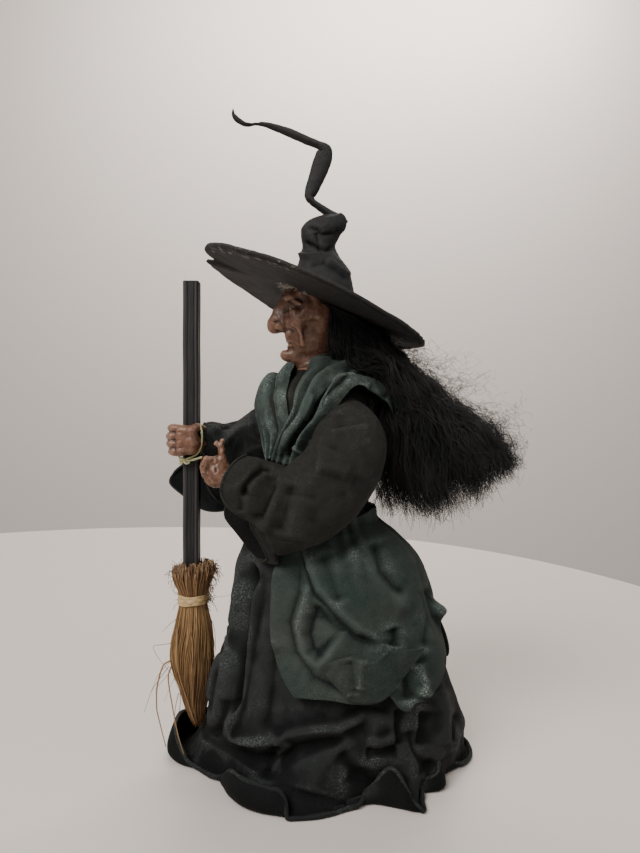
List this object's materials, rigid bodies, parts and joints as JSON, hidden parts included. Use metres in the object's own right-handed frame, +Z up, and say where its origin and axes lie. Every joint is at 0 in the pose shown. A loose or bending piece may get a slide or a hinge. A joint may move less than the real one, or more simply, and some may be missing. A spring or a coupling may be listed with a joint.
{
  "type": "animated witch figure",
  "caption": "Free-standing witch figure in stiffened cloth with a besom. A battery gear drive turns its head from side to side, and the besom lifts in its fist.",
  "frame": {"origin": "middle of the base plate's flat underside, on the neck shaft's axis", "axes": "+Z up along the neck shaft; the head faces -X; the left arm is on the -Y side"},
  "size_m": [0.2052, 0.1594, 0.4004],
  "materials": {
    "black_cloth": "stiffened, creased black cloth with worn grey ridges",
    "green_cloth": "stiffened dark green cloth, rubbed pale on the folds",
    "skin": "brown painted cast resin, satin",
    "hair": "frizzy black synthetic fibre",
    "stick_wood": "dark stained wood",
    "bristle": "dry straw",
    "raffia": "pale raffia",
    "tie_cord": "yellow-green waxed cord",
    "black_plastic": "moulded, fine matt",
    "gear_plastic": "natural acetal",
    "foam": "cut foam",
    "steel": "bright drawn",
    "spine_aluminium": "drawn tube",
    "brass": "turned",
    "cell": "printed film jacket",
    "board": "glass-epoxy board",
    "red_lead": "PVC insulation",
    "black_lead": "PVC insulation"
  },
  "bodies": {
    "figure": {"dress_skirt": "black_cloth", "dress_bodice": "black_cloth", "left_sleeve": "black_cloth", "right_sleeve": "black_cloth", "shawl": "green_cloth", "apron": "green_cloth", "left_hand": "skin", "right_hand": "skin", "hand_tie": "tie_cord", "base_plate": "black_plastic", "battery_box": "black_plastic", "switch_body": "black_plastic", "gearbox_case": "black_plastic", "gearbox_cover": "black_plastic", "shoulder_block": "black_plastic", "torso_padding": "foam", "contact_plate_left": "steel", "contact_plate_right": "steel", "door_hinge_pin": "steel", "base_screw_1": "steel", "base_screw_2": "steel", "base_screw_3": "steel", "base_screw_4": "steel", "motor": "steel", "gear_pin": "steel", "left_arm_wire": "steel", "right_arm_wire": "steel", "spine_tube": "spine_aluminium", "lower_bush": "brass", "upper_bush": "brass", "battery_1": "cell", "battery_2": "cell", "battery_3": "cell", "control_board": "board", "battery_lead_red": "red_lead", "motor_lead_red": "red_lead", "battery_lead_black": "black_lead", "motor_lead_black": "black_lead", "switch_lead": "black_lead"},
    "head_and_hat": {"head": "skin", "hair": "hair", "hat_brim": "black_cloth", "hat_crown": "black_cloth", "hat_tip": "black_cloth", "neck_shaft": "steel", "sector_gear": "gear_plastic"},
    "reduction": {"reduction_gear": "gear_plastic"},
    "pinion": {"motor_pinion": "brass"},
    "broom": {"broom_stick": "stick_wood", "bristle_bundle": "bristle", "broom_binding": "raffia"},
    "door": {"battery_door": "black_plastic"},
    "slider": {"switch_slider": "black_plastic"}
  },
  "joints": [
    {"name": "head_turn", "type": "hinge", "parent": "figure", "child": "head_and_hat", "pos_m": [0, 0, 0.15], "axis": [0, 0, 1], "range_deg": [-20, 20]},
    {"name": "reduction_spin", "type": "hinge", "parent": "figure", "child": "reduction", "pos_m": [0, -0.023, 0.041], "axis": [0, 0, 1], "range_deg": [-73, 73]},
    {"name": "motor_spin", "type": "hinge", "parent": "figure", "child": "pinion", "pos_m": [-0.018, -0.023, 0.038], "axis": [0, 0, 1], "range_deg": [-188, 188]},
    {"name": "broom_lift", "type": "slide", "parent": "figure", "child": "broom", "axis": [0, 0, 1], "range_m": [0, 0.03]},
    {"name": "door_hinge", "type": "hinge", "parent": "figure", "child": "door", "pos_m": [0, 0.004, 0.0018], "axis": [-1, 0, 0], "range_deg": [0, 100]},
    {"name": "switch_slide", "type": "slide", "parent": "figure", "child": "slider", "axis": [1, 0, 0], "range_m": [0, 0.003]}
  ],
  "couplings": [
    {"joint": "reduction_spin", "follows": "head_turn", "ratio": -3.6},
    {"joint": "motor_spin", "follows": "head_turn", "ratio": 9.36}
  ]
}
